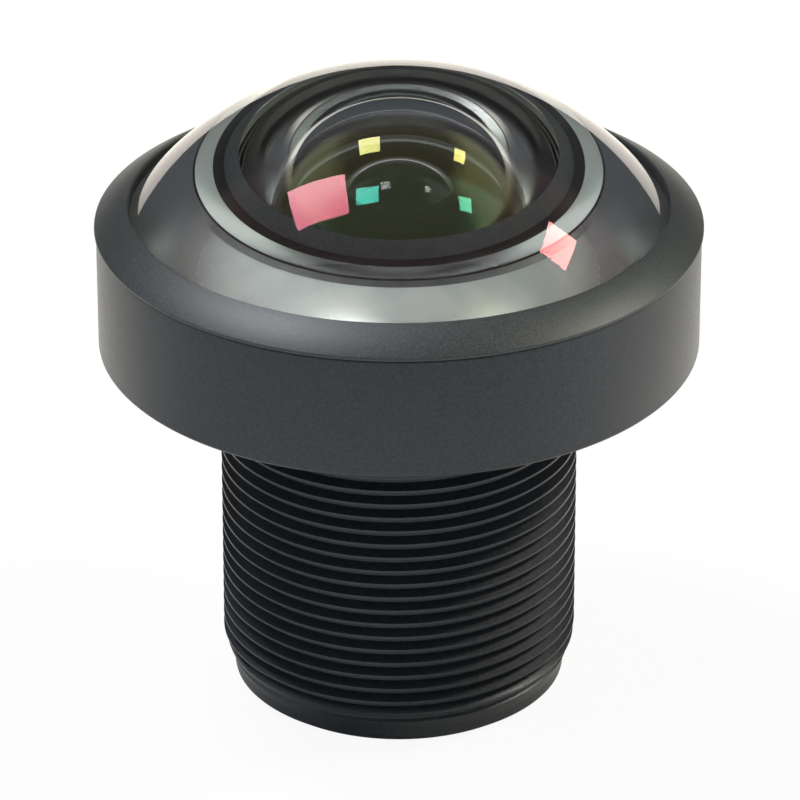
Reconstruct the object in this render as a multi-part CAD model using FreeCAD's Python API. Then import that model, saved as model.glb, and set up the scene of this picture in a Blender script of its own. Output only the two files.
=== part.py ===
import FreeCAD, Part
import math
import os
from FreeCAD import Vector

# A board camera lens. The origin is the centre of its rear end, on the surface it
# stands on, and +Z runs along the optical axis to the front. Lengths are in millimetres.

# Threaded shank of the barrel
thread_radius = 6.0
shank_length = 12.53
pilot_length = 0.63
pilot_relief = 0.38
lead_in_length = 1.02
rear_chamfer_height = 0.3
rear_chamfer_width = 0.42
bore_mouth_chamfer = 0.12
shank_wall = 1.4

# Head of the barrel
head_radius = 10.04
head_height = 4.25
head_wall = 0.37
head_edge_chamfer = 0.12
parting_chamfer = 0.06
front_seat_depth = 1.28

# Front retaining ring
ring_overhang = 0.06
ring_edge_height = 0.11
ring_lip_width = 0.29
ring_lip_rise = 0.345
ring_skirt_wall = 0.4
ring_skirt_gap = 0.1

# Front element, a steep meniscus with a land, a ground cone and a flange behind
dome_radius = 11.246
front_edge_thickness = 1.4
front_centre_thickness = 1.85
front_hollow_radius = 5.15
front_land_height = 1.5
front_land_overhang = 0.02
front_cone_share = 0.8913

# Bare seat ring under the ground cone, in a recess round the hub of the head
seat_ring_depth = 0.7
seat_ring_gap = 0.03
seat_ring_fit = 0.02
hub_relief = 0.17

# Seal ring, between its groove and the front element
seal_width = 0.54
seal_height = 0.42
seal_corner = 0.12
seal_groove_margin = 0.01
seal_inset = 0.13

# Second element and its clamp ring
second_ledge_share = 0.1667
second_seat_drop = 3.6
second_height = 4.7
second_front_radius = 8.0
second_hollow_radius = 3.5
second_centre_thickness = 1.4
clamp_thread_wall = 0.4
clamp_lip_width = 0.5
clamp_top_gap = 0.02
clamp_end_gap = 0.1
hub_rim_width = 0.15

# Thin black washers
baffle_thickness = 0.08
front_baffle_width = 1.35

# Grooved spacer between the second and third elements
front_spacer_length = 1.58
front_spacer_width = 1.05
front_spacer_foot_gap = 0.06
groove_count = 5
groove_depth = 0.2

# Third element, on the shoulder inside the barrel
third_edge_thickness = 1.6
third_front_radius = 7.5
third_rear_radius = 14.0
third_front_flange = 0.58
third_rear_flange = 0.98
shoulder_width = 0.95
shoulder_thickness = 0.7

# Fixed aperture stop and its spacer
stop_thickness = 0.1
stop_opening = 0.95
stop_spacer_width = 1.7
stop_air_gap = 0.1

# Fourth element
fourth_edge_thickness = 0.9
fourth_front_radius = 8.65
fourth_rear_radius = 5.0
fourth_front_flange = 1.98
fourth_rear_flange = 1.78

# Cemented pair and the stepped spacer in front of it
doublet_spacer_width = 1.5
doublet_air_gap = 0.24
crown_radius = 3.6
crown_edge_thickness = 0.35
crown_flange = 0.6
crown_front_radius = 6.0
cemented_radius = 5.2
cement_thickness = 0.01
flint_edge_thickness = 1.8
flint_rear_radius = 16.4
flint_rear_flange = 0.98

# Rear element and its spacer
rear_spacer_length = 0.4
rear_spacer_width = 0.9
rear_edge_thickness = 0.9
rear_front_radius = 20.6
rear_front_flange = 1.08

# Rear retaining ring, filter plate and its adhesive
rear_ring_length = 0.9
rear_ring_width = 1.4
rear_ring_wall = 0.67
notch_width = 0.9
notch_depth = 0.4
filter_thickness = 0.3
filter_inset = 0.1
adhesive_width = 0.3
adhesive_thickness = 0.06

# Fits, as gaps on the radius
lens_fit = 0.02
thread_fit = 0.02
front_lens_fit = 0.05
filter_fit = 0.03


def bulge(sphere_radius, radius):
    """How far a sphere of sphere_radius stands out over a circle of the given radius."""
    return sphere_radius - math.sqrt(sphere_radius ** 2 - radius ** 2)


# Radii that follow from the sizes above
pilot_radius = thread_radius - pilot_relief
rear_edge_radius = pilot_radius - rear_chamfer_width
bore_radius = thread_radius - shank_wall
stack_radius = bore_radius - lens_fit
shoulder_radius = bore_radius - shoulder_width
ring_bore_radius = head_radius - head_wall
ring_thread_radius = ring_bore_radius - thread_fit
ring_skirt_radius = ring_thread_radius - ring_skirt_wall
front_radius = ring_skirt_radius - front_lens_fit
ring_opening_radius = front_radius - ring_lip_width
front_flange_radius = front_radius * front_cone_share
second_bore_radius = bore_radius + second_ledge_share * (front_flange_radius - bore_radius)
second_radius = second_bore_radius - lens_fit
clamp_bore_radius = second_bore_radius + clamp_thread_wall
clamp_radius = clamp_bore_radius - thread_fit
clamp_opening_radius = second_radius - clamp_lip_width
front_land_radius = clamp_radius + front_land_overhang
hub_radius = clamp_bore_radius + hub_rim_width
seat_recess_radius = front_flange_radius + front_lens_fit
front_baffle_opening = bore_radius - front_baffle_width
front_spacer_opening = bore_radius - front_spacer_width
stop_spacer_opening = bore_radius - stop_spacer_width
doublet_spacer_opening = bore_radius - doublet_spacer_width
rear_spacer_opening = bore_radius - rear_spacer_width
rear_ring_radius = bore_radius - thread_fit
rear_ring_opening = bore_radius - rear_ring_width
filter_recess_radius = bore_radius - rear_ring_wall
filter_radius = filter_recess_radius - filter_fit
fourth_front_edge = stack_radius - fourth_front_flange
fourth_rear_edge = stack_radius - fourth_rear_flange
crown_front_edge = crown_radius - crown_flange

# How far the curved faces on both sides of two air gaps stand out
fourth_front_bulge = bulge(fourth_front_radius, fourth_front_edge)
fourth_rear_bulge = bulge(fourth_rear_radius, fourth_rear_edge)
crown_front_bulge = bulge(crown_front_radius, crown_front_edge)

# Heights that follow: the stack hangs from the seat of the front element
head_top = shank_length + head_height
front_seat = head_top - front_seat_depth
front_land = front_seat + front_land_height
seat_recess_floor = front_seat - seat_ring_depth
second_seat = front_land - second_seat_drop
front_spacer_top = second_seat - baffle_thickness
third_front = front_spacer_top - front_spacer_length
third_seat = third_front - third_edge_thickness
stop_top = third_seat - shoulder_thickness
stop_spacer_top = stop_top - stop_thickness
fourth_front = stop_spacer_top - stop_air_gap - fourth_front_bulge
fourth_rear = fourth_front - fourth_edge_thickness
crown_tip = fourth_rear - fourth_rear_bulge - doublet_air_gap
flint_front = crown_tip - crown_front_bulge - crown_edge_thickness
flint_rear = flint_front - flint_edge_thickness
rear_spacer_top = flint_rear - baffle_thickness
rear_front = rear_spacer_top - rear_spacer_length
rear_rear = rear_front - rear_edge_thickness
rear_ring_end = rear_rear - rear_ring_length


# Two points nearer than this are one point
same_point = 1e-6


class Outline:
    """A half section in the XZ plane, drawn point by point and turned about the Z axis."""

    def __init__(self, radius, height):
        self.first = Vector(radius, 0, height)
        self.last = self.first
        self.edges = []

    def line(self, radius, height):
        """A straight edge to a radius and height."""
        end = Vector(radius, 0, height)
        self.edges.append(Part.LineSegment(self.last, end).toShape())
        self.last = end

    def sphere(self, radius, height, centre):
        """An arc about a point on the axis at the height called centre."""
        end = Vector(radius, 0, height)
        start_angle = math.atan2(self.last.z - centre, self.last.x)
        end_angle = math.atan2(height - centre, radius)
        middle_angle = (start_angle + end_angle) / 2
        reach = math.hypot(radius, height - centre)
        middle = Vector(reach * math.cos(middle_angle), 0, centre + reach * math.sin(middle_angle))
        self.edges.append(Part.Arc(self.last, middle, end).toShape())
        self.last = end

    def turned(self):
        """The section turned into a solid, closed by a line where its ends are apart."""
        if not self.last.isEqual(self.first, same_point):
            self.line(self.first.x, self.first.z)
        face = Part.Face(Part.Wire(self.edges))
        return face.revolve(Vector(0, 0, 0), Vector(0, 0, 1), 360)


def ring(inner_radius, outer_radius, bottom, top):
    """A plain washer."""
    section = Outline(inner_radius, bottom)
    section.line(outer_radius, bottom)
    section.line(outer_radius, top)
    section.line(inner_radius, top)
    return section.turned()


def dome_centre():
    """Height of the centre of the front element's outer sphere."""
    edge_height = front_seat + front_edge_thickness
    return edge_height - math.sqrt(dome_radius ** 2 - front_radius ** 2)


def dome_height(radius):
    """Height of the front element's outer sphere at a radius."""
    return dome_centre() + math.sqrt(dome_radius ** 2 - radius ** 2)


def front_cone_height(radius):
    """Height of the front element's ground cone at a radius, level inside its land."""
    if radius <= front_land_radius:
        return front_land
    share = (radius - front_land_radius) / (front_flange_radius - front_land_radius)
    return front_land - share * front_land_height


def front_hollow_centre():
    """Height of the centre of the front element's hollow."""
    return dome_height(0) - front_centre_thickness - front_hollow_radius


def front_hollow_rim():
    """Radius of the rim of the hollow, where it meets the land."""
    drop = front_land - front_hollow_centre()
    return math.sqrt(front_hollow_radius ** 2 - drop ** 2)


def second_front_height(radius):
    """Height of the second element's front sphere at a radius."""
    return second_seat + second_height - bulge(second_front_radius, radius)


def third_front_height(radius):
    """Height of the third element's front sphere at a radius."""
    front_edge = stack_radius - third_front_flange
    front_tip = third_front + bulge(third_front_radius, front_edge)
    return front_tip - bulge(third_front_radius, radius)


def clamp_floor():
    """Height of the flat end of the clamp ring."""
    return second_front_height(second_radius) + lens_fit


def make_barrel():
    """The shank and the head in one turned piece, with its stepped bore."""
    groove_outer = front_radius - seal_inset + seal_groove_margin
    groove_inner = groove_outer - seal_width - 2 * seal_groove_margin
    clamp_bore_floor = clamp_floor() - clamp_end_gap
    hub_top = front_cone_height(hub_radius) - hub_relief
    section = Outline(bore_radius + bore_mouth_chamfer, 0)
    section.line(rear_edge_radius, 0)
    section.line(pilot_radius, rear_chamfer_height)
    section.line(pilot_radius, pilot_length)
    section.line(thread_radius, pilot_length + lead_in_length)
    section.line(thread_radius, shank_length)
    section.line(head_radius - head_edge_chamfer, shank_length)
    section.line(head_radius, shank_length + head_edge_chamfer)
    section.line(head_radius, head_top - parting_chamfer)
    section.line(head_radius - parting_chamfer, head_top)
    section.line(ring_bore_radius, head_top)
    section.line(ring_bore_radius, front_seat)
    section.line(groove_outer, front_seat)
    section.line(groove_outer, front_seat - seal_height)
    section.line(groove_inner, front_seat - seal_height)
    section.line(groove_inner, front_seat)
    section.line(seat_recess_radius, front_seat)
    section.line(seat_recess_radius, seat_recess_floor)
    section.line(hub_radius, seat_recess_floor)
    section.line(hub_radius, hub_top)
    section.line(clamp_bore_radius, hub_top)
    section.line(clamp_bore_radius, clamp_bore_floor)
    section.line(second_bore_radius, clamp_bore_floor)
    section.line(second_bore_radius, second_seat)
    section.line(bore_radius, second_seat)
    section.line(bore_radius, third_seat)
    section.line(shoulder_radius, third_seat)
    section.line(shoulder_radius, stop_top)
    section.line(bore_radius, stop_top)
    section.line(bore_radius, bore_mouth_chamfer)
    return section.turned()


def make_front_retaining_ring():
    """The bevelled ring round the dome, with a skirt that screws into the head."""
    lip_height = dome_height(ring_opening_radius)
    section = Outline(ring_opening_radius, lip_height + ring_lip_rise)
    section.line(ring_opening_radius, lip_height + lens_fit)
    section.line(ring_skirt_radius, dome_height(ring_skirt_radius) + lens_fit)
    section.line(ring_skirt_radius, front_seat + ring_skirt_gap)
    section.line(ring_thread_radius, front_seat + ring_skirt_gap)
    section.line(ring_thread_radius, head_top)
    section.line(head_radius + ring_overhang, head_top)
    section.line(head_radius + ring_overhang, head_top + ring_edge_height)
    return section.turned()


def make_front_element():
    """The steep dome: outer sphere, hollow, land, ground cone, flange and edge."""
    hollow_top = front_hollow_centre() + front_hollow_radius
    section = Outline(0, dome_height(0))
    section.line(0, hollow_top)
    section.sphere(front_hollow_rim(), front_land, front_hollow_centre())
    section.line(front_land_radius, front_land)
    section.line(front_flange_radius, front_seat)
    section.line(front_radius, front_seat)
    section.line(front_radius, front_seat + front_edge_thickness)
    section.sphere(0, dome_height(0), dome_centre())
    return section.turned()


def make_front_seat_ring():
    """A bare turned ring in the recess, its top a cone close under the ground cone."""
    inner = hub_radius + seat_ring_fit
    outer = seat_recess_radius - seat_ring_fit
    section = Outline(inner, seat_recess_floor)
    section.line(outer, seat_recess_floor)
    section.line(outer, front_cone_height(outer) - seat_ring_gap)
    section.line(inner, front_cone_height(inner) - seat_ring_gap)
    return section.turned()


def make_front_seal_ring():
    """A rubber ring with cut corners, pressed between the groove's floor and the front element."""
    outer = front_radius - seal_inset
    inner = outer - seal_width
    floor = front_seat - seal_height
    section = Outline(inner + seal_corner, floor)
    section.line(outer - seal_corner, floor)
    section.line(outer, floor + seal_corner)
    section.line(outer, front_seat - seal_corner)
    section.line(outer - seal_corner, front_seat)
    section.line(inner + seal_corner, front_seat)
    section.line(inner, front_seat - seal_corner)
    section.line(inner, floor + seal_corner)
    return section.turned()


def make_second_element_clamp_ring():
    """The narrow threaded ring that presses on the second element's front sphere."""
    top = front_land - clamp_top_gap
    section = Outline(clamp_opening_radius, top)
    section.line(clamp_opening_radius, second_front_height(clamp_opening_radius) + lens_fit)
    section.line(second_radius, clamp_floor())
    section.line(clamp_radius, clamp_floor())
    section.line(clamp_radius, top)
    return section.turned()


def make_second_element():
    """A meniscus with a small deep hollow and a wide flat seat."""
    hollow_centre = second_seat + second_height - second_centre_thickness - second_hollow_radius
    hollow_rim = math.sqrt(second_hollow_radius ** 2 - (second_seat - hollow_centre) ** 2)
    front_centre = second_seat + second_height - second_front_radius
    section = Outline(0, second_seat + second_height)
    section.line(0, hollow_centre + second_hollow_radius)
    section.sphere(hollow_rim, second_seat, hollow_centre)
    section.line(second_radius, second_seat)
    section.line(second_radius, second_front_height(second_radius))
    section.sphere(0, second_seat + second_height, front_centre)
    return section.turned()


def make_front_spacer():
    """A ring whose opening is cut into sharp grooves that trap stray light."""
    foot_radius = stack_radius - third_front_flange + lens_fit
    foot_top = third_front_height(front_spacer_opening) + front_spacer_foot_gap
    groove_pitch = (front_spacer_top - foot_top) / groove_count
    section = Outline(foot_radius, third_front)
    section.line(stack_radius, third_front)
    section.line(stack_radius, front_spacer_top)
    section.line(front_spacer_opening, front_spacer_top)
    for groove in range(groove_count):
        groove_top = front_spacer_top - groove * groove_pitch
        section.line(front_spacer_opening + groove_depth, groove_top - groove_pitch / 2)
        section.line(front_spacer_opening, groove_top - groove_pitch)
    section.line(foot_radius, foot_top)
    return section.turned()


def make_third_element():
    """A thick lens, convex on both faces, with a flat flange on each."""
    front_edge = stack_radius - third_front_flange
    rear_edge = stack_radius - third_rear_flange
    front_tip = third_front_height(0)
    rear_tip = third_seat - bulge(third_rear_radius, rear_edge)
    section = Outline(0, front_tip)
    section.line(0, rear_tip)
    section.sphere(rear_edge, third_seat, rear_tip + third_rear_radius)
    section.line(stack_radius, third_seat)
    section.line(stack_radius, third_front)
    section.line(front_edge, third_front)
    section.sphere(0, front_tip, front_tip - third_front_radius)
    return section.turned()


def make_aperture_stop():
    """A thin disc whose hole has a sharp edge, cut back behind."""
    section = Outline(stop_opening, stop_top)
    section.line(stop_opening + stop_thickness, stop_spacer_top)
    section.line(stack_radius, stop_spacer_top)
    section.line(stack_radius, stop_top)
    return section.turned()


def make_fourth_element():
    """A lens convex on both faces, steeper behind."""
    front_tip = fourth_front + fourth_front_bulge
    rear_tip = fourth_rear - fourth_rear_bulge
    section = Outline(0, front_tip)
    section.line(0, rear_tip)
    section.sphere(fourth_rear_edge, fourth_rear, rear_tip + fourth_rear_radius)
    section.line(stack_radius, fourth_rear)
    section.line(stack_radius, fourth_front)
    section.line(fourth_front_edge, fourth_front)
    section.sphere(0, front_tip, front_tip - fourth_front_radius)
    return section.turned()


def make_doublet_spacer():
    """A ring stepped inside, so that it clears the front half of the cemented pair."""
    step_radius = crown_radius + lens_fit
    step_height = flint_front + crown_edge_thickness + lens_fit
    section = Outline(step_radius, flint_front)
    section.line(stack_radius, flint_front)
    section.line(stack_radius, fourth_rear)
    section.line(doublet_spacer_opening, fourth_rear)
    section.line(doublet_spacer_opening, step_height)
    section.line(step_radius, step_height)
    return section.turned()


def make_doublet_front_element():
    """The crown half of the cemented pair, convex on both faces."""
    flange_height = flint_front + crown_edge_thickness
    rear_tip = flint_front - bulge(cemented_radius, crown_radius)
    section = Outline(0, crown_tip)
    section.line(0, rear_tip)
    section.sphere(crown_radius, flint_front, rear_tip + cemented_radius)
    section.line(crown_radius, flange_height)
    section.line(crown_front_edge, flange_height)
    section.sphere(0, crown_tip, crown_tip - crown_front_radius)
    return section.turned()


def make_doublet_rear_element():
    """The flint half, hollow in front to take the crown, slightly convex behind."""
    hollow_radius = cemented_radius + cement_thickness
    hollow_centre = flint_front - bulge(cemented_radius, crown_radius) + cemented_radius
    hollow_rim = math.sqrt(hollow_radius ** 2 - (hollow_centre - flint_front) ** 2)
    rear_edge = stack_radius - flint_rear_flange
    rear_tip = flint_rear - bulge(flint_rear_radius, rear_edge)
    section = Outline(0, hollow_centre - hollow_radius)
    section.line(0, rear_tip)
    section.sphere(rear_edge, flint_rear, rear_tip + flint_rear_radius)
    section.line(stack_radius, flint_rear)
    section.line(stack_radius, flint_front)
    section.line(hollow_rim, flint_front)
    section.sphere(0, hollow_centre - hollow_radius, hollow_centre)
    return section.turned()


def make_rear_element():
    """The last lens, slightly hollow in front and flat behind."""
    front_edge = stack_radius - rear_front_flange
    front_tip = rear_front - bulge(rear_front_radius, front_edge)
    section = Outline(0, front_tip)
    section.line(0, rear_rear)
    section.line(stack_radius, rear_rear)
    section.line(stack_radius, rear_front)
    section.line(front_edge, rear_front)
    section.sphere(0, front_tip, front_tip + rear_front_radius)
    return section.turned()


def make_rear_retaining_ring():
    """The threaded ring that closes the stack, with a filter recess and two notches."""
    recess_top = rear_ring_end + filter_inset + filter_thickness
    section = Outline(rear_ring_opening, recess_top)
    section.line(filter_recess_radius, recess_top)
    section.line(filter_recess_radius, rear_ring_end)
    section.line(rear_ring_radius, rear_ring_end)
    section.line(rear_ring_radius, rear_rear)
    section.line(rear_ring_opening, rear_rear)
    body = section.turned()
    slot_length = 2 * thread_radius
    corner = Vector(-slot_length / 2, -notch_width / 2, rear_ring_end)
    slot = Part.makeBox(slot_length, notch_width, notch_depth, corner)
    core = Part.makeCylinder(filter_recess_radius, notch_depth, Vector(0, 0, rear_ring_end))
    return body.cut(slot.cut(core))


def make_front_light_baffle():
    """The thin washer between the second element and the grooved spacer."""
    return ring(front_baffle_opening, stack_radius, front_spacer_top, second_seat)


def make_stop_spacer():
    """The ring between the stop and the fourth element."""
    return ring(stop_spacer_opening, stack_radius, fourth_front, stop_spacer_top)


def make_rear_light_baffle():
    """The thin washer on the flange of the cemented pair."""
    opening = stack_radius - flint_rear_flange + lens_fit
    return ring(opening, stack_radius, rear_spacer_top, flint_rear)


def make_rear_spacer():
    """The ring between the rear washer and the last lens."""
    return ring(rear_spacer_opening, stack_radius, rear_front, rear_spacer_top)


def make_ir_cut_filter():
    """The round filter plate in the rear ring's recess."""
    bottom = rear_ring_end + filter_inset
    return ring(0, filter_radius, bottom, bottom + filter_thickness)


def make_filter_adhesive_ring():
    """The bead of adhesive on the filter's edge, against the recess wall."""
    top = rear_ring_end + filter_inset
    inner = filter_recess_radius - adhesive_width
    return ring(inner, filter_recess_radius, top - adhesive_thickness, top)


def main():
    """Build every piece and write one file for each."""
    pieces = {
        "barrel": make_barrel,
        "front_retaining_ring": make_front_retaining_ring,
        "front_element": make_front_element,
        "front_seat_ring": make_front_seat_ring,
        "front_seal_ring": make_front_seal_ring,
        "second_element_clamp_ring": make_second_element_clamp_ring,
        "second_element": make_second_element,
        "front_light_baffle": make_front_light_baffle,
        "front_spacer": make_front_spacer,
        "third_element": make_third_element,
        "aperture_stop": make_aperture_stop,
        "stop_spacer": make_stop_spacer,
        "fourth_element": make_fourth_element,
        "doublet_spacer": make_doublet_spacer,
        "doublet_front_element": make_doublet_front_element,
        "doublet_rear_element": make_doublet_rear_element,
        "rear_light_baffle": make_rear_light_baffle,
        "rear_spacer": make_rear_spacer,
        "rear_element": make_rear_element,
        "rear_retaining_ring": make_rear_retaining_ring,
        "ir_cut_filter": make_ir_cut_filter,
        "filter_adhesive_ring": make_filter_adhesive_ring,
    }
    os.makedirs("parts", exist_ok=True)
    for name, make in pieces.items():
        shape = make()
        shape.exportStep(f"parts/{name}.step")
        bounds = shape.BoundBox
        print(f"{name}: {len(shape.Solids)} solid, z {bounds.ZMin:.3f} to {bounds.ZMax:.3f},"
              f" radius {bounds.XMax:.3f}, volume {shape.Volume:.2f}, valid {shape.isValid()}")


main()
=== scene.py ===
import bpy
import bmesh
import math
from mathutils import Matrix, Vector


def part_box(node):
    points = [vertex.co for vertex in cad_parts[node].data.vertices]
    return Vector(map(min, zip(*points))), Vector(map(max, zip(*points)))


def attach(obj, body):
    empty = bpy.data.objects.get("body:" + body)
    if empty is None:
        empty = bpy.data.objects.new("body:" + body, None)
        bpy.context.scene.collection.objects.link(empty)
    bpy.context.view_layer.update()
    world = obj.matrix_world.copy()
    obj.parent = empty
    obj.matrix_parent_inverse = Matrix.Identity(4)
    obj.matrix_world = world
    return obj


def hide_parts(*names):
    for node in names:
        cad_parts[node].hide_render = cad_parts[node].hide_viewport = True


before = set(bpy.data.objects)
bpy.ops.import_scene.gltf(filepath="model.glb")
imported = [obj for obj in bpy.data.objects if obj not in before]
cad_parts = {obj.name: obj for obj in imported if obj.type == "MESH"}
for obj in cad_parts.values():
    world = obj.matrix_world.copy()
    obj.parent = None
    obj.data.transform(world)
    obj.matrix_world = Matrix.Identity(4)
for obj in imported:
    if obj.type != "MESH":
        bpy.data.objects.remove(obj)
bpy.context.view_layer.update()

# The look of a board camera lens. Lengths named here are in millimetres unless they say
# otherwise, and become metres where a mesh is made. Z is the optical axis.

MM = 0.001
BODY = "root"
WHITE = (1, 1, 1, 1)

# Fineness of the turned pieces
OUTER_STEPS = 192
INNER_STEPS = 144
THREAD_STEPS = 144
DOME_ARC_STEPS = 96
HOLLOW_ARC_STEPS = 56
HOLLOW_SHADE_STEPS = 12
SECOND_FRONT_STEPS = 48
SECOND_HOLLOW_STEPS = 32
SECOND_SHADE_STEPS = 16
FACE_ARC_STEPS = 40

# Corners: a turn from which one is cut, a turn from which an edge stays sharp, and the reach of a cut
SOFT_TURN = math.radians(25)
BARREL_SOFT_TURN = math.radians(20)
SHARP_TURN = math.radians(28)
BARREL_SHARP_TURN = math.radians(35)
CUT_LIMIT = 0.4
BARREL_SOFT = 0.05
BEZEL_SOFT = 0.035
RING_SOFT = 0.03
SPACER_SOFT = 0.015
WASHER_SOFT = 0.008

# Lengths that count as nothing
NO_LENGTH = 1e-9
ON_AXIS = 1e-6

# Distances in metres within which the points of a mesh are merged, or count as at the shank's top
MERGE_REACH = 1e-8
BARREL_MERGE_REACH = 2e-8
TOP_REACH = 1e-7

# Camera, fitted to the circles of the lens
CAMERA_PITCH = math.radians(27.495)
CAMERA_DISTANCE = 197.8
CAMERA_TARGET_HEIGHT = 10.178
CAMERA_LENS = 264.48
CAMERA_SENSOR = 36.0
CAMERA_SHIFT = 0.00125
CAMERA_NEAREST = 10
CAMERA_FURTHEST = 20000

# Thread of the shank. The front is a quarter of a turn before angle 0
THREAD_PITCH = 0.5
THREAD_DEPTH = 0.31
CREST_SHARE = 0.16
ROOT_SHARE = 0.22
CREST_AT_FRONT = 9.89
FRONT_TURN = 0.25
SPARE_TURNS = 3

# Outline of the barrel that its box doesn't give
SHANK_RADIUS = 6.0
PILOT_RADIUS = 5.62
PILOT_HEIGHT = 0.63
LEAD_IN_TOP = 1.65
SHANK_TOP = 12.53
REAR_RADIUS = 5.2
REAR_CHAMFER = 0.3
BORE_RADIUS = 4.6
BORE_MOUTH = 0.12
HEAD_RADIUS = 10.04
EDGE_BREAK = 0.12
PARTING_BREAK = 0.06
RING_BORE_RADIUS = 9.67
SEAL_GROOVE_OUTER = 9.08
SEAL_GROOVE_INNER = 8.52
SEAT_RECESS_RADIUS = 8.25
HUB_RADIUS = 5.75
HUB_DROP = 0.257
CLAMP_BORE_RADIUS = 5.6
SECOND_BORE_RADIUS = 5.2
BORE_STEP = 0.1
SHOULDER_WIDTH = 0.95
THREAD_GAP = 0.02

# Bevelled ring round the dome
RING_EDGE_HEIGHT = 0.11
LIP_WIDTH = 0.27
LIP_CHAMFER_WIDTH = 0.06
LIP_CHAMFER_TOP = 0.02
LIP_CHAMFER_FOOT = 0.09

# Front element
DOME_RADIUS = 11.246
HOLLOW_RADIUS = 5.15
CENTRE_THICKNESS = 1.85
FRONT_EDGE_THICKNESS = 1.4
LAND_HEIGHT = 1.5
LAND_RADIUS = 5.6
LAND_INNER_RADIUS = 4.95
CORNER_INK = 0.035
HOLLOW_CLEAR_RADIUS = 4.3
FLANGE_WIDTH = 1.0
LENS_FIT = 0.02
FRONT_FIT = 0.05

# Second element, clamp ring and seat ring
SECOND_SPHERE = 8.0
SECOND_HOLLOW = 3.5
SECOND_THICKNESS = 1.4
SECOND_CLEAR_RADIUS = 1.85
CLAMP_OPENING = 4.68
SEAT_BARE_RADIUS = 7.2

# Rings and washers of the stack, and the thickness of the third element at its edge
THIRD_THICKNESS = 1.6
SPACER_OPENING = 3.55
SPACER_FOOT_WIDTH = 0.56
SPACER_FOOT_HEIGHT = 0.36
SPACER_GROOVES = 5
GROOVE_DEPTH = 0.2
FRONT_BAFFLE_OPENING = 3.25
FRONT_BAFFLE_BEVEL = 0.02
STOP_OPENING = 0.95
STOP_BEVEL = 0.1
STOP_SPACER_OPENING = 2.9

# Faces of the lenses of the stack: radius of the sphere and radius of the face's edge
THIRD_FRONT = (7.5, 4.0)
THIRD_REAR = (14.0, 3.6)
FOURTH_FRONT = (8.65, 2.6)
FOURTH_REAR = (5.0, 2.8)
CROWN_FRONT = (6.0, 3.0)
CROWN_REAR = (5.2, 3.6)
FLINT_FRONT = (5.21, 3.6)
FLINT_REAR = (16.4, 3.6)
LAST_FRONT = (20.6, 3.5)

# Glass
FRONT_INDEX = 1.8
INNER_INDEX = 1.7
FILTER_INDEX = 1.52
CONE_ROUGHNESS = 0.15

# Ground land, whose scatter changes along Y from its front to its back. The scatter and its pale tone are
# painted sheen, standing in for light reflected in the land at its sides and back. The stages are shares
# of
# that way: the clear front ends, the full scatter starts, it ends, and the clearer back starts
LAND_FRONT = -5.4
LAND_BACK = 5.6
LAND_STAGES = (0.05, 0.16, 0.7, 0.9)
LAND_MIDDLE_CLEAR = 0.4
LAND_BACK_CLEAR = 0.85
LAND_PAINTED_SHEEN_TONE = (0.76, 0.83, 0.81, 1)
LAND_ROUGHNESS = 0.16

# Seat ring: where along Y its bare metal is painted dark, as shade on its far side
SEAT_PAINTED_SHADE_START = -3.0
SEAT_PAINTED_SHADE_END = -0.5

# Surface marks: heights and pitch in metres, scales per metre, stages and drifts as shares
GRAIN_DETAIL = 4.0
GRAIN_HEIGHT = 0.00001
MATT_GRAIN = 6000.0
MATT_STRENGTH = 0.3
MATT_DRIFT = 1.25
TURNING_PITCH = 0.00006
TURNING_HEIGHT = 0.000004
TURNING_STRENGTH = 0.35
TURNING_DETAIL = 3.0
BLOTCH_SCALE = 900.0
BLOTCH_DETAIL = 5.0
BLOTCH_STAGES = (0.38, 0.62)
DRIFT_STAGES = (0.35, 0.65)
ANODISED_DRIFT = (-0.03, 0.05)
TURNED_DRIFT = (-0.04, 0.05)

# Floor: its half width and the places where its painted shade and painted glow change, in metres
FLOOR_REACH = 1.5
FLOOR_ROUGHNESS = 0.9
FLOOR_GLOW = 0.93
FLOOR_COLOUR = (0.9, 0.9, 0.88, 1)
FLOOR_PAINTED_SHADE = (0.08, 0.08, 0.08, 1)
FLOOR_PAINTED_GLOW = (1.6, 1.53, 1.37, 1)
FLOOR_PAINTED_GLOW_START = -0.004
FLOOR_PAINTED_GLOW_END = 0.03
FLOOR_RIGHT_SHARE = 0.9
FLOOR_FAR_START = 0.09
FLOOR_FAR_END = 0.2
FLOOR_FAR_SHARE = 0.47

# Room: its tones, and the shares of depth and height at which one gives way to the next
ROOM_DIM = (0.23, 0.25, 0.26, 1)
ROOM_LEFT = (0.74, 0.8, 0.79, 1)
ROOM_RIGHT = (0.9, 0.96, 0.92, 1)
ROOM_DARK = (0.06, 0.065, 0.07, 1)
ROOM_FRONT_STAGES = (0.2, 0.32)
ROOM_BACK_START = 0.57
ROOM_BACK_END = 0.65
ROOM_LEAN = 0.35
ROOM_SIDE_BLEND = 0.1
CEILING_START = 0.55
CEILING_END = 0.75

# Lamps, in metres
LAMP_DISTANCE = 0.9
LAMP_AIM_HEIGHT = 0.012


def span(node):
    """Lowest height, highest height and outer radius of a node, in millimetres."""
    low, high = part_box(node)
    return low.z / MM, high.z / MM, (high.x - low.x) / 2 / MM


def sphere_height(sphere, radius):
    """Height of a sphere above its own centre at a radius, or its radius at a height."""
    return math.sqrt(sphere ** 2 - radius ** 2)


def arc(centre, radius, start, end, steps):
    """Points of a sphere about a point on the axis, between two (radius, height) points."""
    first = math.atan2(start[1] - centre, start[0])
    last = math.atan2(end[1] - centre, end[0])
    points = []
    for step in range(steps + 1):
        angle = first + (last - first) * step / steps
        points.append((radius * math.cos(angle), centre + radius * math.sin(angle)))
    return points


def cap(tip, face, way, steps=FACE_ARC_STEPS):
    """Outline of a lens face from the axis to its edge; way is 1 where it bulges up, -1 down."""
    sphere, edge = face
    centre = tip - way * sphere
    end = (edge, centre + way * sphere_height(sphere, edge))
    return arc(centre, sphere, (0, tip), end, steps)


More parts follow.
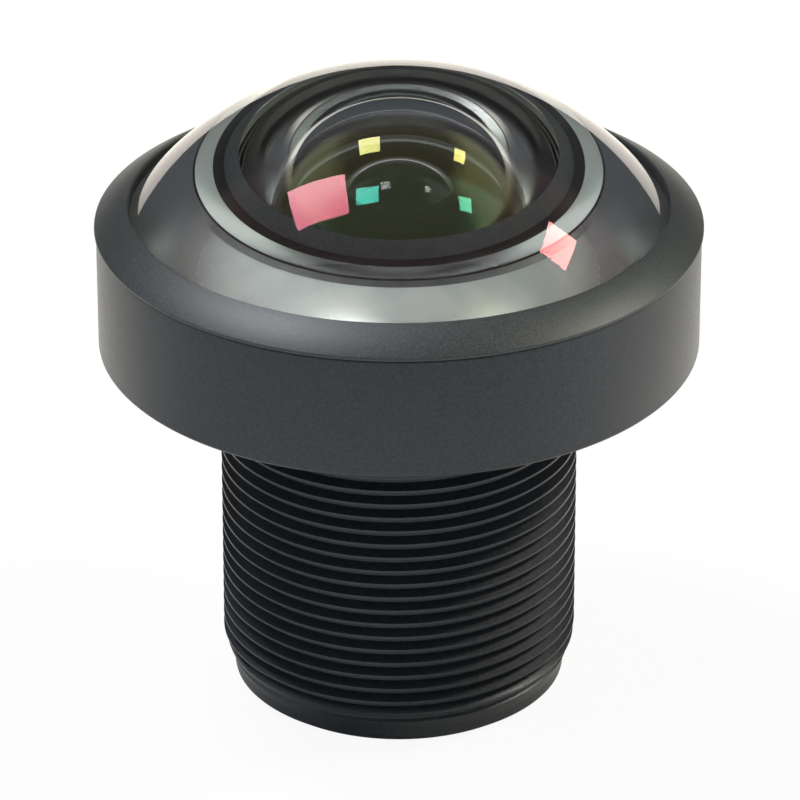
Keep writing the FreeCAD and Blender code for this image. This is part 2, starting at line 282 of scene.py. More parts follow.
def softened(points, sharp_turn, reach):
    """An open outline with its corners cut twice, so that they catch the light.

    The middle one of a corner's three points lies on the curve that the corner pulls from cut to cut.
    """
    result = [points[0]]
    for before, here, after in zip(points, points[1:], points[2:]):
        into = Vector((here[0] - before[0], here[1] - before[1]))
        out = Vector((after[0] - here[0], after[1] - here[1]))
        if min(into.length, out.length) < NO_LENGTH or into.angle(out) < sharp_turn:
            result.append(here)
            continue
        cut_in = min(reach, into.length * CUT_LIMIT)
        cut_out = min(reach, out.length * CUT_LIMIT)
        start = Vector(here) - into.normalized() * cut_in
        end = Vector(here) + out.normalized() * cut_out
        middle = (start + end) * 0.25 + Vector(here) * 0.5
        result += [tuple(start), tuple(middle), tuple(end)]
    result.append(points[-1])
    return result


def new_point(bm, radius, angle, height):
    """A new vertex at a radius, an angle about the axis and a height."""
    return bm.verts.new((radius * math.cos(angle) * MM, radius * math.sin(angle) * MM, height * MM))


def new_circle(bm, radius, height, steps):
    """New vertices on a circle about the axis."""
    return [new_point(bm, radius, 2 * math.pi * step / steps, height) for step in range(steps)]


def new_face(bm, corners, zone):
    """A new smooth face with the material of its zone."""
    face = bm.faces.new(corners)
    face.material_index = zone
    face.smooth = True


def linked(name, data):
    """A new object in the scene."""
    item = bpy.data.objects.new(name, data)
    bpy.context.scene.collection.objects.link(item)
    return item


def finished(name, bm, materials, sharp_turn):
    """A new object from a closed mesh in the making, with its faces turned outwards."""
    bmesh.ops.recalc_face_normals(bm, faces=bm.faces)
    if bm.calc_volume(signed=True) < 0:
        bmesh.ops.reverse_faces(bm, faces=bm.faces)
    mesh = bpy.data.meshes.new(name)
    bm.to_mesh(mesh)
    bm.free()
    for material in materials:
        mesh.materials.append(material)
    mesh.set_sharp_from_angle(angle=sharp_turn)
    return linked(name, mesh)


def turned(name, zones, steps=OUTER_STEPS, soft=0.0):
    """A closed mesh turned about the axis. zones is a list of (material, outline) in order."""
    bm = bmesh.new()
    materials = list(dict.fromkeys(material for material, outline in zones))
    circles = []
    bands = []
    for material, outline in zones:
        points = softened(outline, SOFT_TURN, soft) if soft else outline
        for radius, height in points:
            if radius < ON_AXIS:
                circles.append([new_point(bm, 0.0, 0.0, height)])
            else:
                circles.append(new_circle(bm, radius, height, steps))
        bands += [materials.index(material)] * (len(points) - 1) + [None]
    for lower, upper, zone in zip(circles, circles[1:], bands):
        if zone is None:
            continue
        for step in range(steps):
            following = (step + 1) % steps
            corners = [
                lower[step % len(lower)],
                lower[following % len(lower)],
                upper[following % len(upper)],
                upper[step % len(upper)],
            ]
            distinct = list(dict.fromkeys(corners))
            if len(distinct) > 2:
                new_face(bm, distinct, zone)
    bmesh.ops.remove_doubles(bm, verts=bm.verts, dist=MERGE_REACH)
    return finished(name, bm, materials, SHARP_TURN)


def placed(piece, node):
    """The piece stands for a CAD node and rides on the lens."""
    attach(piece, BODY)
    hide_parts(node)


def node_material(name):
    """An empty node material with its shader and node tree."""
    material = bpy.data.materials.new(name)
    material.use_nodes = True
    tree = material.node_tree
    shader = tree.nodes["Principled BSDF"]
    return material, tree, shader


def own_place(tree):
    """The place on the object, in metres."""
    return tree.nodes.new("ShaderNodeTexCoord").outputs["Object"]


def parts_of(tree, source):
    """The X, Y and Z of a socket."""
    node = tree.nodes.new("ShaderNodeSeparateXYZ")
    tree.links.new(source, node.inputs["Vector"])
    return node.outputs


def worked(tree, operation, first, second):
    """The result of a sum on two values; each may be a socket or a number."""
    node = tree.nodes.new("ShaderNodeMath")
    node.operation = operation
    for slot, value in enumerate((first, second)):
        if isinstance(value, float):
            node.inputs[slot].default_value = value
        else:
            tree.links.new(value, node.inputs[slot])
    return node.outputs["Value"]


def vector_node(tree, operation, source):
    """A node that works on a vector."""
    node = tree.nodes.new("ShaderNodeVectorMath")
    node.operation = operation
    tree.links.new(source, node.inputs[0])
    return node


def flattened(tree, source):
    """A vector with its height taken away."""
    node = vector_node(tree, "MULTIPLY", source)
    node.inputs[1].default_value = (1, 1, 0)
    return node.outputs["Vector"]


def length_of(tree, source):
    """The length of a vector."""
    return vector_node(tree, "LENGTH", source).outputs["Value"]


def colour_ramp(tree, source, stops):
    """A ramp fed by a socket; stops is a list of (position, colour)."""
    ramp = tree.nodes.new("ShaderNodeValToRGB")
    elements = ramp.color_ramp.elements
    while len(elements) < len(stops):
        elements.new(1.0)
    for element, (position, colour) in zip(elements, stops):
        element.position = position
        element.color = colour
    tree.links.new(source, ramp.inputs["Fac"])
    return ramp.outputs["Color"]


def remapped(tree, source, low, high):
    """A socket's value scaled so that low becomes 0 and high becomes 1."""
    scale = tree.nodes.new("ShaderNodeMapRange")
    scale.inputs["From Min"].default_value = low
    scale.inputs["From Max"].default_value = high
    tree.links.new(source, scale.inputs["Value"])
    return scale.outputs["Result"]


def mixed(tree, share, first, second):
    """Two colours mixed by a socket; a colour may be a socket or a value."""
    mix = tree.nodes.new("ShaderNodeMixRGB")
    tree.links.new(share, mix.inputs["Fac"])
    for colour, slot in ((first, "Color1"), (second, "Color2")):
        if isinstance(colour, tuple):
            mix.inputs[slot].default_value = colour
        else:
            tree.links.new(colour, mix.inputs[slot])
    return mix.outputs["Color"]


def noise(tree, scale, detail):
    """Noise in object space, with its scale per metre."""
    texture = tree.nodes.new("ShaderNodeTexNoise")
    texture.inputs["Scale"].default_value = scale
    texture.inputs["Detail"].default_value = detail
    tree.links.new(own_place(tree), texture.inputs["Vector"])
    return texture.outputs["Fac"]


def turning_marks(tree):
    """Noise that follows the distance from the axis, as the rings left by a turning tool do."""
    texture = tree.nodes.new("ShaderNodeTexNoise")
    texture.noise_dimensions = "1D"
    texture.inputs["Scale"].default_value = 1.0 / TURNING_PITCH
    texture.inputs["Detail"].default_value = TURNING_DETAIL
    tree.links.new(length_of(tree, flattened(tree, own_place(tree))), texture.inputs["W"])
    return texture.outputs["Fac"]


def bumped(tree, shader, source, strength, height):
    """Feeds a socket to the shader as a bump."""
    bump = tree.nodes.new("ShaderNodeBump")
    bump.inputs["Strength"].default_value = strength
    bump.inputs["Distance"].default_value = height
    tree.links.new(source, bump.inputs["Height"])
    tree.links.new(bump.outputs["Normal"], shader.inputs["Normal"])


def varied(tree, source, target, low, high):
    """Feeds a socket with a value or colour that drifts between low and high."""
    drift = colour_ramp(tree, source, list(zip(DRIFT_STAGES, (low, high))))
    tree.links.new(drift, target)


def grey(value):
    """A neutral colour."""
    return (value, value, value, 1.0)


def anodised(name, dark, light, rough, metallic, grain=9000.0, strength=0.25):
    """Anodised aluminium: satin, with a fine grain and slight drift in tone."""
    material, tree, shader = node_material(name)
    shader.inputs["Metallic"].default_value = metallic
    texture = noise(tree, grain, GRAIN_DETAIL)
    bumped(tree, shader, texture, strength, GRAIN_HEIGHT)
    varied(tree, texture, shader.inputs["Base Color"], dark, light)
    varied(tree, texture, shader.inputs["Roughness"], *(grey(rough + drift) for drift in ANODISED_DRIFT))
    return material


def bare_metal(name, dark, light, rough, back=None):
    """Bare turned aluminium with fine rings and soft blotches; back is a dark colour painted in as shade
    towards the far side.
    """
    material, tree, shader = node_material(name)
    shader.inputs["Metallic"].default_value = 1.0
    marks = turning_marks(tree)
    bumped(tree, shader, marks, TURNING_STRENGTH, TURNING_HEIGHT)
    blotches = noise(tree, BLOTCH_SCALE, BLOTCH_DETAIL)
    tone = colour_ramp(tree, blotches, list(zip(BLOTCH_STAGES, (dark, light))))
    # Painted shade: the tone turns to back towards the far side.
    if back:
        depth = parts_of(tree, own_place(tree))["Y"]
        painted_shade_share = remapped(tree, depth, SEAT_PAINTED_SHADE_START * MM, SEAT_PAINTED_SHADE_END * MM)
        tone = mixed(tree, painted_shade_share, tone, back)
    tree.links.new(tone, shader.inputs["Base Color"])
    varied(tree, marks, shader.inputs["Roughness"], *(grey(rough + drift) for drift in TURNED_DRIFT))
    return material


def coated_glass(name, index, tint, rough=0.0, colour=WHITE):
    """Optical glass. The tint colours and weakens the reflection, as a coating does."""
    material, tree, shader = node_material(name)
    shader.inputs["Base Color"].default_value = colour
    shader.inputs["Transmission Weight"].default_value = 1.0
    shader.inputs["IOR"].default_value = index
    shader.inputs["Roughness"].default_value = rough
    shader.inputs["Specular Tint"].default_value = tint
    return material


def ground_glass(name, index, rough):
    """Ground glass that is clear at the front, scatters in the middle and is clearer at the back; the
    scatter and its pale tone are painted sheen.
    """
    material, tree, shader = node_material(name)
    depth = parts_of(tree, own_place(tree))["Y"]
    along = remapped(tree, depth, LAND_FRONT * MM, LAND_BACK * MM)
    shares = map(grey, (1.0, LAND_MIDDLE_CLEAR, LAND_MIDDLE_CLEAR, LAND_BACK_CLEAR))
    # The scatter and its pale tone stand in as painted sheen at the land's sides and back.
    clear = colour_ramp(tree, along, list(zip(LAND_STAGES, shares)))
    tone = colour_ramp(tree, along, list(zip(LAND_STAGES, (WHITE, LAND_PAINTED_SHEEN_TONE))))
    tree.links.new(clear, shader.inputs["Transmission Weight"])
    tree.links.new(tone, shader.inputs["Base Color"])
    shader.inputs["IOR"].default_value = index
    shader.inputs["Roughness"].default_value = rough
    return material


def matt(name, colour, rough):
    """A dull dark finish with a faint grain."""
    material, tree, shader = node_material(name)
    texture = noise(tree, MATT_GRAIN, GRAIN_DETAIL)
    bumped(tree, shader, texture, MATT_STRENGTH, GRAIN_HEIGHT)
    lighter = tuple(MATT_DRIFT * part for part in colour[:3]) + (1.0,)
    varied(tree, texture, shader.inputs["Base Color"], colour, lighter)
    shader.inputs["Roughness"].default_value = rough
    return material


barrel_finish = anodised(
    "barrel_anodised", dark=(0.032, 0.035, 0.0435, 1), light=(0.0455, 0.05, 0.061, 1),
    rough=0.42, metallic=0.6)
ring_finish = anodised(
    "ring_anodised", dark=(0.049, 0.053, 0.057, 1), light=(0.0715, 0.077, 0.083, 1),
    rough=0.45, metallic=0.6, grain=14000.0, strength=0.35)
inner_finish = anodised(
    "inner_anodised", dark=(0.046, 0.041, 0.05, 1), light=(0.068, 0.06, 0.072, 1),
    rough=0.55, metallic=0.0)
# The seat ring's back colour is painted shade on its far side.
seat_metal_painted_shade = bare_metal(
    "seat_bare_painted_shade", dark=(0.82, 0.86, 0.84, 1), light=(0.96, 0.98, 0.95, 1), rough=0.45,
    back=(0.1, 0.105, 0.105, 1))
clamp_finish = bare_metal(
    "clamp_bare", dark=(0.22, 0.225, 0.225, 1), light=(0.3, 0.305, 0.305, 1), rough=0.5)
front_coat = coated_glass("front_coated_glass", FRONT_INDEX, tint=(0.25, 0.02, 0.05, 1))
hollow_coat = coated_glass("hollow_coated_glass", FRONT_INDEX, tint=(0.9, 0.84, 0.22, 1))
land_glass_painted_sheen = ground_glass("land_ground_glass_painted_sheen", FRONT_INDEX, LAND_ROUGHNESS)
cone_glass = coated_glass("cone_fine_ground_glass", FRONT_INDEX, tint=WHITE, rough=CONE_ROUGHNESS)
second_coat = coated_glass(
    "second_coated_glass", INNER_INDEX, tint=(0.01, 0.55, 0.36, 1), colour=(0.48, 0.49, 0.48, 1))
inner_coat = coated_glass("inner_coated_glass", INNER_INDEX, tint=(0.5, 0.57, 0.5, 1))
filter_coat = coated_glass("filter_glass", FILTER_INDEX, tint=(1.0, 0.45, 0.5, 1))
edge_black = matt("edge_blackening", (0.01, 0.01, 0.01, 1), rough=0.7)
# A dark matt band round the pupil: painted shade.
pupil_painted_shade = matt("pupil_painted_shade", (0.035, 0.038, 0.04, 1), rough=0.6)
# A dark matt band at the front hollow's rim: painted shade in place of dark reflections.
rim_painted_shade = matt("rim_painted_shade", (0.07, 0.078, 0.082, 1), rough=0.6)
edge_ground = matt("edge_ground", (0.42, 0.42, 0.37, 1), rough=0.7)
film_black = matt("baffle_film", (0.012, 0.012, 0.013, 1), rough=0.6)
seal_black = matt("seal_rubber", (0.02, 0.02, 0.02, 1), rough=0.75)
adhesive_finish = matt("adhesive", (0.05, 0.05, 0.055, 1), rough=0.3)


def helix_turn(angle):
    """Turns of the thread from the front, where the height of its crest is named, to an angle."""
    return angle / (2 * math.pi) + FRONT_TURN


def thread_radius(angle, height, blank):
    """Radius of the thread at an angle and height, inside the turned blank."""
    phase = (height - CREST_AT_FRONT) / THREAD_PITCH - helix_turn(angle)
    offset = abs(phase - round(phase)) * 2
    flank = (offset - CREST_SHARE) / (1 - CREST_SHARE - ROOT_SHARE)
    depth = THREAD_DEPTH * min(max(flank, 0.0), 1.0)
    return min(blank, SHANK_RADIUS - depth)


def blank_radius(height):
    """Radius of the turned blank that the thread is cut in."""
    if height >= LEAD_IN_TOP:
        return SHANK_RADIUS
    share = (height - PILOT_HEIGHT) / (LEAD_IN_TOP - PILOT_HEIGHT)
    return PILOT_RADIUS + share * (SHANK_RADIUS - PILOT_RADIUS)


def threaded_shank(bm, zone):
    """The helical surface between the pilot and the head, as rows that climb with the thread.

    Each turn has six rows: both edges of the crest, the middle of one flank, both edges of the root
    and the middle of the other flank. The spare turns are cut off at the pilot and the head.
    """
    flank_edge = CREST_SHARE / 2
    root_edge = 0.5 - ROOT_SHARE / 2
    middle = (flank_edge + root_edge) / 2
    phases = [-flank_edge, flank_edge, middle, root_edge, 1 - root_edge, 1 - middle]
    turns = int((SHANK_TOP - PILOT_HEIGHT) / THREAD_PITCH) + SPARE_TURNS
    turns_below = math.ceil((CREST_AT_FRONT - PILOT_HEIGHT) / THREAD_PITCH + 1)
    start = CREST_AT_FRONT - turns_below * THREAD_PITCH
    columns = []
    for step in range(THREAD_STEPS + 1):
        angle = 2 * math.pi * step / THREAD_STEPS
        column = []
        for turn in range(turns + 1):
            for phase in phases:
                wanted = start + (turn + phase + helix_turn(angle)) * THREAD_PITCH
                height = min(max(wanted, PILOT_HEIGHT), SHANK_TOP)
                radius = thread_radius(angle, height, blank_radius(height))
                column.append(new_point(bm, radius, angle, height))
        columns.append(column)
    for left, right in zip(columns, columns[1:]):
        for row in range(len(left) - 1):
            new_face(bm, (left[row], right[row], right[row + 1], left[row + 1]), zone)


def add_turned_rows(bm, outline, steps, zone):
    """Open turned strips added to a mesh in the making."""
    circles = [new_circle(bm, radius, height, steps) for radius, height in outline]
    for lower, upper in zip(circles, circles[1:]):
        for step in range(steps):
            following = (step + 1) % steps
            new_face(bm, (lower[step], lower[following], upper[following], upper[step]), zone)


def barrel_outside(head_top):
    """The two turned strips below and above the thread."""
    below = softened([
        (BORE_RADIUS, BORE_MOUTH), (BORE_RADIUS + BORE_MOUTH, 0.0), (REAR_RADIUS, 0.0),
        (PILOT_RADIUS, REAR_CHAMFER), (PILOT_RADIUS, PILOT_HEIGHT),
    ], BARREL_SOFT_TURN, BARREL_SOFT)
    above = softened([
        (SHANK_RADIUS + THREAD_GAP, SHANK_TOP), (HEAD_RADIUS - EDGE_BREAK, SHANK_TOP),
        (HEAD_RADIUS, SHANK_TOP + EDGE_BREAK), (HEAD_RADIUS, head_top - PARTING_BREAK),
        (HEAD_RADIUS - PARTING_BREAK, head_top), (RING_BORE_RADIUS, head_top),
    ], BARREL_SOFT_TURN, BARREL_SOFT)
    return below, above


def barrel_inside(head_top):
    """The stepped bore, from the head down to the mouth."""
    front_seat = span("front_element")[0]
    seal_floor = span("front_seal_ring")[0]
    recess_floor = span("front_seat_ring")[0]
    second_seat = span("second_element")[0]
    clamp_floor = span("second_element_clamp_ring")[0] - BORE_STEP
    third_seat = span("front_spacer")[0] - THIRD_THICKNESS
    stop_top = span("aperture_stop")[1]
    hub_top = front_seat + LAND_HEIGHT - HUB_DROP
    return [
        (RING_BORE_RADIUS, head_top), (RING_BORE_RADIUS, front_seat), (SEAL_GROOVE_OUTER, front_seat),
        (SEAL_GROOVE_OUTER, seal_floor), (SEAL_GROOVE_INNER, seal_floor), (SEAL_GROOVE_INNER, front_seat),
        (SEAT_RECESS_RADIUS, front_seat), (SEAT_RECESS_RADIUS, recess_floor), (HUB_RADIUS, recess_floor),
        (HUB_RADIUS, hub_top), (CLAMP_BORE_RADIUS, hub_top), (CLAMP_BORE_RADIUS, clamp_floor),
        (SECOND_BORE_RADIUS, clamp_floor), (SECOND_BORE_RADIUS, second_seat), (BORE_RADIUS, second_seat),
        (BORE_RADIUS, third_seat), (BORE_RADIUS - SHOULDER_WIDTH, third_seat),
        (BORE_RADIUS - SHOULDER_WIDTH, stop_top), (BORE_RADIUS, stop_top), (BORE_RADIUS, BORE_MOUTH),
    ]


def join_shank_to_head(bm):
    """Closes the gap between the last row of the thread and the head's underside."""
    edges = [edge for edge in bm.edges if edge.is_boundary
             and all(abs(vert.co.z - SHANK_TOP * MM) < TOP_REACH for vert in edge.verts)]
    bmesh.ops.bridge_loops(bm, edges=edges)


def make_barrel():
    """The barrel: head, threaded shank, pilot and stepped bore in one closed mesh."""
    head_top = span("barrel")[1]
    below, above = barrel_outside(head_top)
    outside = 0
    inside = 1
    bm = bmesh.new()
    add_turned_rows(bm, below, THREAD_STEPS, outside)
    threaded_shank(bm, outside)
    add_turned_rows(bm, above, THREAD_STEPS, outside)
    add_turned_rows(bm, barrel_inside(head_top), THREAD_STEPS, inside)
    bmesh.ops.remove_doubles(bm, verts=bm.verts, dist=BARREL_MERGE_REACH)
    join_shank_to_head(bm)
    piece = finished("barrel_body", bm, [barrel_finish, inner_finish], BARREL_SHARP_TURN)
    placed(piece, "barrel")


def make_front_retaining_ring():
    """The bevelled ring round the dome."""
    dome_top, front_radius = span("front_element")[1:]
    low, high, radius = span("front_retaining_ring")
    head_top = span("barrel")[1]
    dome_centre = dome_top - DOME_RADIUS
    opening = front_radius - LIP_WIDTH
    inner = front_radius + FRONT_FIT
    thread = RING_BORE_RADIUS - THREAD_GAP
    lip = dome_centre + sphere_height(DOME_RADIUS, opening) + LENS_FIT
    under_lip = dome_centre + sphere_height(DOME_RADIUS, inner) + LENS_FIT
    outline = [
        (opening, lip), (inner, under_lip), (inner, low), (thread, low), (thread, head_top),
        (radius, head_top), (radius, head_top + RING_EDGE_HEIGHT),
        (opening + LIP_CHAMFER_WIDTH, high - LIP_CHAMFER_TOP), (opening, high - LIP_CHAMFER_FOOT),
        (opening, lip),
    ]
    piece = turned("front_bezel", [(ring_finish, outline)], soft=BEZEL_SOFT)
    placed(piece, "front_retaining_ring")


def cone_slope():
    """Fall of the front element's ground cone for each millimetre outwards."""
    return LAND_HEIGHT / (span("front_element")[2] - FLANGE_WIDTH - LAND_RADIUS)


def make_front_element():
    """The dome, with its own finish on the sphere, hollow, a dark matt band of painted shade at the
    hollow's rim, land, cone and flange.
    """
    seat, dome_top, radius = span("front_element")
    dome_centre = dome_top - DOME_RADIUS
    hollow_top = dome_top - CENTRE_THICKNESS
    hollow_centre = hollow_top - HOLLOW_RADIUS
    land = seat + LAND_HEIGHT
    rim = (sphere_height(HOLLOW_RADIUS, land - hollow_centre), land)
    clear = (HOLLOW_CLEAR_RADIUS, hollow_centre + sphere_height(HOLLOW_RADIUS, HOLLOW_CLEAR_RADIUS))
    edge_top = (radius, seat + FRONT_EDGE_THICKNESS)
    dome = arc(dome_centre, DOME_RADIUS, (0, dome_top), edge_top, DOME_ARC_STEPS)
    # The arc from the rim to the clear radius is a dark matt band of painted shade.
    inked = arc(hollow_centre, HOLLOW_RADIUS, rim, clear, HOLLOW_SHADE_STEPS)
    hollow = arc(hollow_centre, HOLLOW_RADIUS, inked[-1], (0, hollow_top), HOLLOW_ARC_STEPS)
    flange = (radius - FLANGE_WIDTH, seat)
    outer_corner = (LAND_RADIUS + CORNER_INK, land - cone_slope() * CORNER_INK)
    inner_corner = (LAND_RADIUS - CORNER_INK, land)
    land_end = (LAND_INNER_RADIUS, land)
    zones = [
        (front_coat, dome),
        (edge_ground, [dome[-1], (radius, seat), flange]),
        (cone_glass, [flange, outer_corner]),
        (edge_black, [outer_corner, (LAND_RADIUS, land), inner_corner]),
        # The land's pale tone at its sides and back is painted sheen.
        (land_glass_painted_sheen, [inner_corner, land_end]),
        (edge_black, [land_end, inked[0]]),
        # Painted shade at the hollow's rim.
        (rim_painted_shade, inked),
        (hollow_coat, hollow),
    ]
    placed(turned("front_dome", zones), "front_element")


def make_seat_ring():
    """The bare turned ring under the dome's cone."""
    low, high, radius = span("front_seat_ring")
    inner = HUB_RADIUS + LENS_FIT
    outer_top = (radius, high - cone_slope() * (radius - inner))
    bare_top = (SEAT_BARE_RADIUS, high - cone_slope() * (SEAT_BARE_RADIUS - inner))
    zones = [
        (seat_metal_painted_shade, [bare_top, (inner, high), (inner, low)]),
        (inner_finish, [(inner, low), (radius, low), outer_top, bare_top]),
    ]
    placed(turned("seat_ring", zones, soft=RING_SOFT), "front_seat_ring")


def make_clamp_ring():
    """The narrow ring whose face shows through the dome."""
    low, high, radius = span("second_element_clamp_ring")
    second_high, second_radius = span("second_element")[1:]
    lip = second_high - SECOND_SPHERE + sphere_height(SECOND_SPHERE, CLAMP_OPENING) + LENS_FIT
    outline = [
        (CLAMP_OPENING, high), (CLAMP_OPENING, lip), (second_radius, low), (radius, low), (radius, high),
        (CLAMP_OPENING, high),
    ]
    piece = turned("clamp_ring", [(clamp_finish, outline)], soft=RING_SOFT)
    placed(piece, "second_element_clamp_ring")


def make_second_element():
    """The second meniscus, with a dark matt band of painted shade round the clear middle of its hollow."""
    low, high, radius = span("second_element")
    hollow_top = high - SECOND_THICKNESS
    hollow_centre = hollow_top - SECOND_HOLLOW
    rim = (sphere_height(SECOND_HOLLOW, low - hollow_centre), low)
    clear = (SECOND_CLEAR_RADIUS, hollow_centre + sphere_height(SECOND_HOLLOW, SECOND_CLEAR_RADIUS))
    front = cap(high, (SECOND_SPHERE, radius), 1, SECOND_FRONT_STEPS)
    # The arc from the rim to the clear radius is a dark matt band of painted shade round the pupil.
    inked = arc(hollow_centre, SECOND_HOLLOW, rim, clear, SECOND_SHADE_STEPS)
    hollow = arc(hollow_centre, SECOND_HOLLOW, inked[-1], (0, hollow_top), SECOND_HOLLOW_STEPS)
    zones = [
        (second_coat, front),
        (edge_black, [front[-1], (radius, low), rim]),
        # Painted shade round the pupil.
        (pupil_painted_shade, inked),
        (inner_coat, hollow),
    ]
    placed(turned("second_meniscus", zones, INNER_STEPS), "second_element")


def make_lens_from(node, above, edge, below):
    """A lens of the stack: coated faces and a blackened edge between them."""
    zones = [(inner_coat, above), (edge_black, edge), (inner_coat, below[::-1])]
    placed(turned(node + "_lens", zones, INNER_STEPS), node)


def make_lens(node, front, rear):
    """A lens that bulges at both faces, each given as (sphere, edge radius)."""
    low, high, radius = span(node)
    above = cap(high, front, 1)
    below = cap(low, rear, -1)
    edge = [above[-1], (radius, above[-1][1]), (radius, below[-1][1]), below[-1]]
    make_lens_from(node, above, edge, below)


def make_hollow_fronted_lens(node, front, rear, rim_height):
    """A lens whose front face is hollow, so that its rim is highest; rear is None where it is flat."""
    low = span(node)[0]
    radius = span(node)[2]
    sphere, edge_radius = front
    above = cap(rim_height - sphere + sphere_height(sphere, edge_radius), front, -1)
    below = cap(low, rear, -1) if rear else [(0, low), (radius, low)]
    edge = [above[-1], (radius, rim_height), (radius, below[-1][1])]
    if rear:
        edge.append(below[-1])
    make_lens_from(node, above, edge, below)


def make_front_spacer():
    """The ring whose opening is cut into sharp grooves."""
    low, high, radius = span("front_spacer")
    foot = radius - SPACER_FOOT_WIDTH
    foot_top = low + SPACER_FOOT_HEIGHT
    pitch = (high - foot_top) / SPACER_GROOVES
    outline = [(foot, low), (radius, low), (radius, high), (SPACER_OPENING, high)]
    for groove in range(SPACER_GROOVES):
        top = high - groove * pitch
        outline += [(SPACER_OPENING + GROOVE_DEPTH, top - pitch / 2), (SPACER_OPENING, top - pitch)]
    outline += [(foot, foot_top), (foot, low)]
    piece = turned("grooved_spacer", [(inner_finish, outline)], INNER_STEPS, SPACER_SOFT)
    placed(piece, "front_spacer")


def make_washer(node, opening, bevel, material):
    """A thin washer with a finely bevelled opening."""
    low, high, radius = span(node)
    outline = [(opening, high), (opening + bevel, low), (radius, low), (radius, high), (opening, high)]
    piece = turned(node + "_washer", [(material, outline)], INNER_STEPS, WASHER_SOFT)
    placed(piece, node)


def dress(node, material):
    """A CAD node keeps its shape and gets its finish."""
    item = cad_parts[node]
    item.data.materials.clear()
    item.data.materials.append(material)
    for slot in item.material_slots:
        slot.material = material


def make_camera():
    """The photograph's view."""
    data = bpy.data.cameras.new("camera")
    data.sensor_width = CAMERA_SENSOR
    data.lens = CAMERA_LENS
    data.shift_x = CAMERA_SHIFT
    data.clip_start = CAMERA_NEAREST * MM
    data.clip_end = CAMERA_FURTHEST * MM
    camera = linked("camera", data)
    camera.location = (
        0.0,
        -math.cos(CAMERA_PITCH) * CAMERA_DISTANCE * MM,
        (CAMERA_TARGET_HEIGHT + math.sin(CAMERA_PITCH) * CAMERA_DISTANCE) * MM,
    )
    camera.rotation_euler = (math.pi / 2 - CAMERA_PITCH, 0.0, 0.0)
    bpy.context.scene.camera = camera


def panel(name, direction, across, width, height, watts, colour=(1, 1, 1)):
    """A soft rectangular lamp, measured in metres, that looks at the lens; its width runs along across."""
    data = bpy.data.lights.new(name, "AREA")
    data.shape = "RECTANGLE"
    data.size = width
    data.size_y = height
    data.energy = watts
    data.color = colour
    lamp = linked(name, data)
    back = Vector(direction).normalized()
    side = Vector(across)
    side = (side - back * side.dot(back)).normalized()
    up = back.cross(side)
    lamp.rotation_euler = Matrix((side, up, back)).transposed().to_euler()
    lamp.location = Vector((0, 0, LAMP_AIM_HEIGHT)) + back * LAMP_DISTANCE


def glowing(tree, share, surface, colour):
    """A surface mixed with light of its own."""
    glow = tree.nodes.new("ShaderNodeEmission")
    glow.inputs["Color"].default_value = colour
    glow.inputs["Strength"].default_value = 1.0
    mix = tree.nodes.new("ShaderNodeMixShader")
    tree.links.new(share, mix.inputs["Fac"])
    tree.links.new(surface, mix.inputs[1])
    tree.links.new(glow.outputs["Emission"], mix.inputs[2])
    return mix.outputs["Shader"]


def make_floor():
    """A pale floor that shows white and keeps a faint shadow.

    Mirrors see it glow behind the lens and to its right, a painted reflection. Glass sees it in painted
    shade near the lens, and glowing far off on the same side.
    """
    mesh = bpy.data.meshes.new("floor")
    corners = [(x * FLOOR_REACH, y * FLOOR_REACH, 0) for x, y in ((-1, -1), (1, -1), (1, 1), (-1, 1))]
    mesh.from_pydata(corners, [], [(0, 1, 2, 3)])
    material, tree, shader = node_material("floor_white")
    shader.inputs["Roughness"].default_value = FLOOR_ROUGHNESS
    ray = tree.nodes.new("ShaderNodeLightPath").outputs
    # Glass sees the floor in a painted shade colour instead of its own.
    tint = mixed(tree, ray["Is Transmission Ray"], FLOOR_COLOUR, FLOOR_PAINTED_SHADE)
    tree.links.new(tint, shader.inputs["Base Color"])
    shown = worked(tree, "MULTIPLY", ray["Is Camera Ray"], FLOOR_GLOW)
    lit = glowing(tree, shown, shader.outputs["BSDF"], WHITE)
    place = own_place(tree)
    parts = parts_of(tree, place)
    to_right = worked(tree, "MULTIPLY", worked(tree, "MAXIMUM", parts["X"], 0.0), FLOOR_RIGHT_SHARE)
    along = worked(tree, "ADD", parts["Y"], to_right)
    behind = remapped(tree, along, FLOOR_PAINTED_GLOW_START, FLOOR_PAINTED_GLOW_END)
    far = remapped(tree, length_of(tree, place), FLOOR_FAR_START, FLOOR_FAR_END)
    far_share = worked(tree, "MULTIPLY", far, FLOOR_FAR_SHARE)
    through = worked(tree, "MULTIPLY", ray["Is Transmission Ray"], far_share)
    only_mirrored = worked(tree, "SUBTRACT", ray["Is Glossy Ray"], ray["Is Transmission Ray"])
    mirrored = worked(tree, "MAXIMUM", only_mirrored, through)
    # Painted reflection: mirrored rays, and far-off rays through glass, see the floor glow behind and
    # right of the lens.
    painted_glow = glowing(tree, worked(tree, "MULTIPLY", mirrored, behind), lit, FLOOR_PAINTED_GLOW)
    tree.links.new(painted_glow, tree.nodes["Material Output"].inputs["Surface"])
    mesh.materials.append(material)
    floor = linked("floor", mesh)


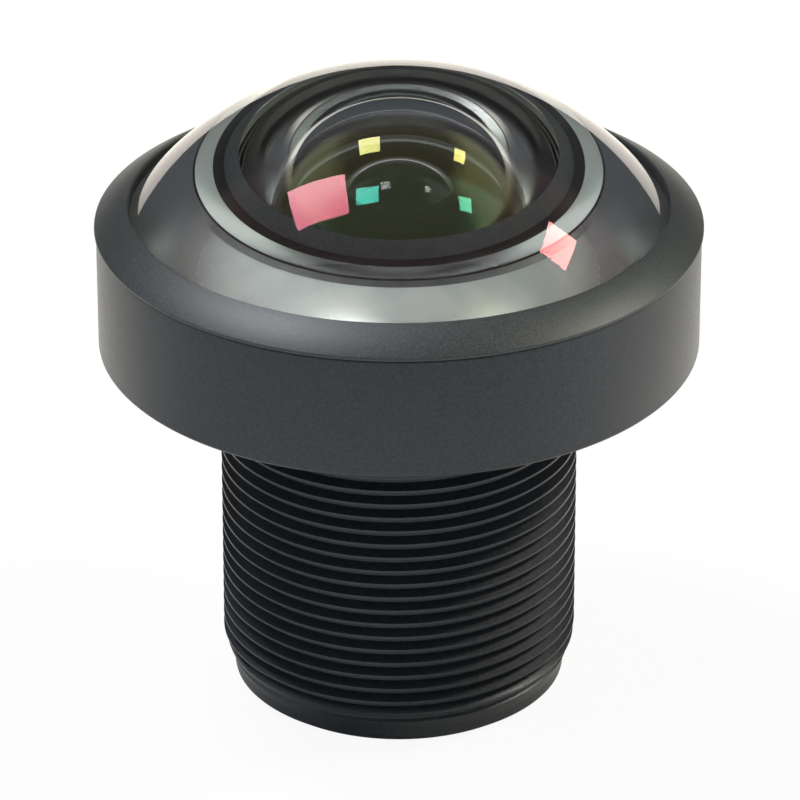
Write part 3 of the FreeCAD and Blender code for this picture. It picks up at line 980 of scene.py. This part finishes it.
def make_world():
    """A room that is dim in front, pale at the sides, dark behind the lens and dim overhead.

    The pale walls reach further back the higher they are. The camera sees white instead.
    """
    world = bpy.data.worlds.new("studio")
    bpy.context.scene.world = world
    world.use_nodes = True
    tree = world.node_tree
    direction = tree.nodes.new("ShaderNodeTexCoord").outputs["Generated"]
    level = vector_node(tree, "NORMALIZE", flattened(tree, direction)).outputs["Vector"]
    heading = parts_of(tree, level)
    rise = parts_of(tree, direction)["Z"]
    depth = remapped(tree, heading["Y"], -1, 1)
    left = colour_ramp(tree, depth, list(zip(ROOM_FRONT_STAGES, (ROOM_DIM, ROOM_LEFT))))
    right = colour_ramp(tree, depth, list(zip(ROOM_FRONT_STAGES, (ROOM_DIM, ROOM_RIGHT))))
    sides = mixed(tree, remapped(tree, heading["X"], -ROOM_SIDE_BLEND, ROOM_SIDE_BLEND), left, right)
    leaning = worked(tree, "SUBTRACT", depth, worked(tree, "MULTIPLY", rise, ROOM_LEAN))
    walls = mixed(tree, remapped(tree, leaning, ROOM_BACK_START, ROOM_BACK_END), sides, ROOM_DARK)
    room = mixed(tree, remapped(tree, rise, CEILING_START, CEILING_END), walls, ROOM_DIM)
    camera_ray = tree.nodes.new("ShaderNodeLightPath").outputs["Is Camera Ray"]
    background = tree.nodes["Background"]
    tree.links.new(mixed(tree, camera_ray, room, WHITE), background.inputs["Color"])
    background.inputs["Strength"].default_value = 1.0


make_barrel()
make_front_retaining_ring()
make_front_element()
make_seat_ring()
make_clamp_ring()
make_second_element()
make_washer("front_light_baffle", FRONT_BAFFLE_OPENING, FRONT_BAFFLE_BEVEL, film_black)
make_front_spacer()
make_lens("third_element", THIRD_FRONT, THIRD_REAR)
make_washer("aperture_stop", STOP_OPENING, STOP_BEVEL, film_black)
make_washer("stop_spacer", STOP_SPACER_OPENING, 0.0, inner_finish)
make_lens("fourth_element", FOURTH_FRONT, FOURTH_REAR)
make_lens("doublet_front_element", CROWN_FRONT, CROWN_REAR)
make_hollow_fronted_lens("doublet_rear_element", FLINT_FRONT, FLINT_REAR, span("doublet_spacer")[0])
make_hollow_fronted_lens("rear_element", LAST_FRONT, None, span("rear_spacer")[0])
for ring in ("doublet_spacer", "rear_spacer", "rear_retaining_ring"):
    dress(ring, inner_finish)
dress("rear_light_baffle", film_black)
dress("front_seal_ring", seal_black)
dress("ir_cut_filter", filter_coat)
dress("filter_adhesive_ring", adhesive_finish)
make_floor()
make_world()
make_camera()
panel("overhead_panel", direction=(-0.371, 0.177, 0.911), across=(0.247, 0.013, 0.096),
      width=0.245, height=0.27, watts=5.5)
panel("right_panel", direction=(0.72, 0.129, 0.682), across=(0.106, -0.005, -0.111),
      width=0.139, height=0.204, watts=3.8, colour=(1.0, 0.95, 0.72))
bpy.context.scene.view_settings.view_transform = "Standard"
